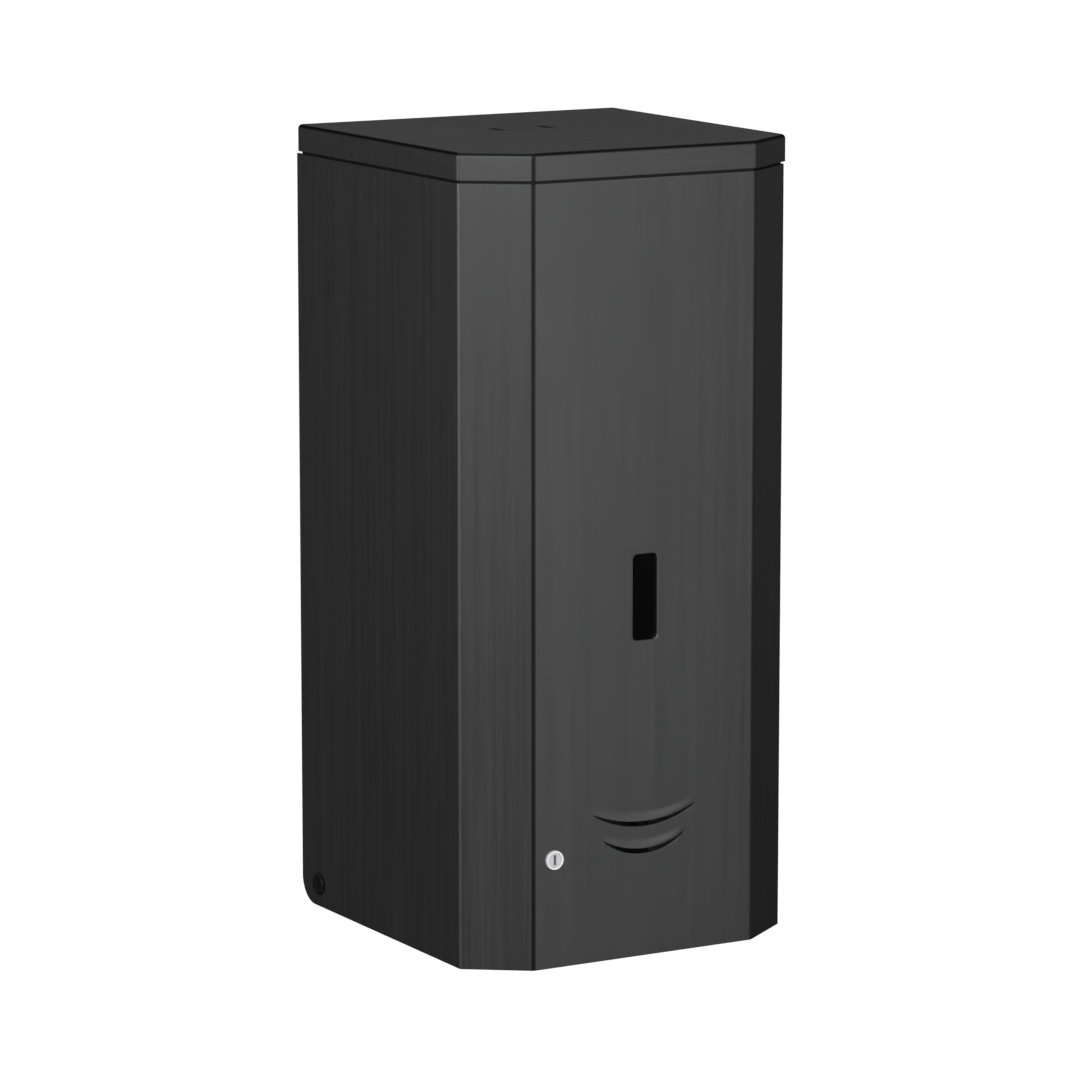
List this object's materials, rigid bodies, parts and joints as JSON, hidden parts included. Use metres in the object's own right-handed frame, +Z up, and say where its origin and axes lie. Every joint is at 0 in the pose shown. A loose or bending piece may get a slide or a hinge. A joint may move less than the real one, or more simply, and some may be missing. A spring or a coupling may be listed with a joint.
{
  "type": "wall mounted soap dispenser",
  "caption": "Touch-free wall mounted soap dispenser: black brushed steel casing with chamfered corners, low lid, level slot, curved louvres and key lock, over a tank, pump and battery housing.",
  "frame": {"origin": "middle of the four wall fixing holes, on the wall plane at the back of the wall plate", "axes": "+Z up, -Y out of the wall towards the user, +X to the user's right"},
  "size_m": [0.1242, 0.1261, 0.2714],
  "materials": {
    "black_brushed_steel": "black coated, fine brushed grain",
    "bright_steel": "plain zinc plated steel",
    "chrome": "bright chrome",
    "lock_core": "satin grey",
    "black_plastic": "fine moulded grain",
    "grey_plastic": "satin moulded",
    "milky_plastic": "translucent, satin",
    "blue_plastic": "satin moulded",
    "nylon": "natural nylon",
    "rubber": "matte",
    "hose": "clear silicone",
    "circuit_board": "solder mask",
    "smoked_lens": "smoked, polished",
    "sensor_lens": "dark red, polished",
    "cell_jacket": "printed sleeve",
    "red_plastic": "satin moulded",
    "clear_plastic": "clear, polished"
  },
  "bodies": {
    "chassis": {"back_plate": "black_plastic", "pivot_screws": "black_brushed_steel", "pivot_washers": "nylon", "lower_housing": "black_plastic", "housing_screws": "bright_steel", "base_panel": "black_plastic", "base_screws": "bright_steel", "nozzle": "grey_plastic", "nozzle_valve": "hose", "delivery_tube": "hose", "inlet_tube": "hose", "outlet_grommet": "rubber", "pump_cradle": "black_plastic", "pump_body": "grey_plastic", "pump_cover": "grey_plastic", "pump_screws": "bright_steel", "shaft_seal": "rubber", "motor": "bright_steel", "tank": "milky_plastic", "tank_screws": "bright_steel", "battery_tray": "black_plastic", "battery_cells": "cell_jacket", "battery_contacts": "bright_steel", "control_board": "circuit_board", "board_screws": "bright_steel", "sensor_board": "circuit_board", "ir_emitter": "clear_plastic", "ir_receiver": "smoked_lens", "sensor_window": "sensor_lens", "status_led": "clear_plastic", "wiring_loom": "red_plastic", "switch_body": "black_plastic", "lock_keeper": "bright_steel", "keeper_screws": "bright_steel"},
    "cover": {"casing": "black_brushed_steel", "stop_pins": "bright_steel", "lid": "black_brushed_steel", "lid_frame": "black_brushed_steel", "lid_bridge": "bright_steel", "bridge_rivets": "bright_steel", "level_window": "smoked_lens", "lock_body": "chrome", "lock_nuts": "bright_steel"},
    "lock": {"lock_plug": "lock_core", "lock_cam": "bright_steel", "cam_screw": "bright_steel"},
    "plug": {"filler_plug": "blue_plastic", "plug_seal": "rubber"},
    "door": {"battery_door": "grey_plastic"},
    "switch": {"switch_knob": "red_plastic"},
    "pump_drive": {"drive_shaft": "bright_steel", "reduction_gear": "nylon", "drive_gear": "nylon"},
    "pump_idler": {"driven_gear": "nylon"},
    "motor_rotor": {"motor_shaft": "bright_steel", "motor_pinion": "nylon"}
  },
  "joints": [
    {"name": "cover_swing", "type": "hinge", "parent": "chassis", "child": "cover", "pos_m": [0, -0.0134, -0.1171], "axis": [1, 0, 0], "range_deg": [0, 85]},
    {"name": "lock_turn", "type": "hinge", "parent": "cover", "child": "lock", "pos_m": [-0.0339, -0.125, -0.089], "axis": [0, 1, 0], "range_deg": [0, 90]},
    {"name": "plug_lift", "type": "slide", "parent": "chassis", "child": "plug", "axis": [0, 0, 1], "range_m": [0, 0.016]},
    {"name": "battery_door_slide", "type": "slide", "parent": "chassis", "child": "door", "axis": [0, 0, 1], "range_m": [0, 0.06]},
    {"name": "power_switch_slide", "type": "slide", "parent": "chassis", "child": "switch", "axis": [0, 0, 1], "range_m": [0, 0.004]},
    {"name": "pump_spin", "type": "hinge", "parent": "chassis", "child": "pump_drive", "pos_m": [-0.016, -0.08, -0.085], "axis": [0, 1, 0], "continuous": true},
    {"name": "idler_spin", "type": "hinge", "parent": "chassis", "child": "pump_idler", "pos_m": [-0.016, -0.088, -0.073], "axis": [0, 1, 0], "continuous": true},
    {"name": "motor_spin", "type": "hinge", "parent": "chassis", "child": "motor_rotor", "pos_m": [-0.016, -0.075, -0.0658], "axis": [0, 1, 0], "continuous": true}
  ],
  "couplings": [
    {"joint": "idler_spin", "follows": "pump_spin", "ratio": -1},
    {"joint": "motor_spin", "follows": "pump_spin", "ratio": -3}
  ]
}
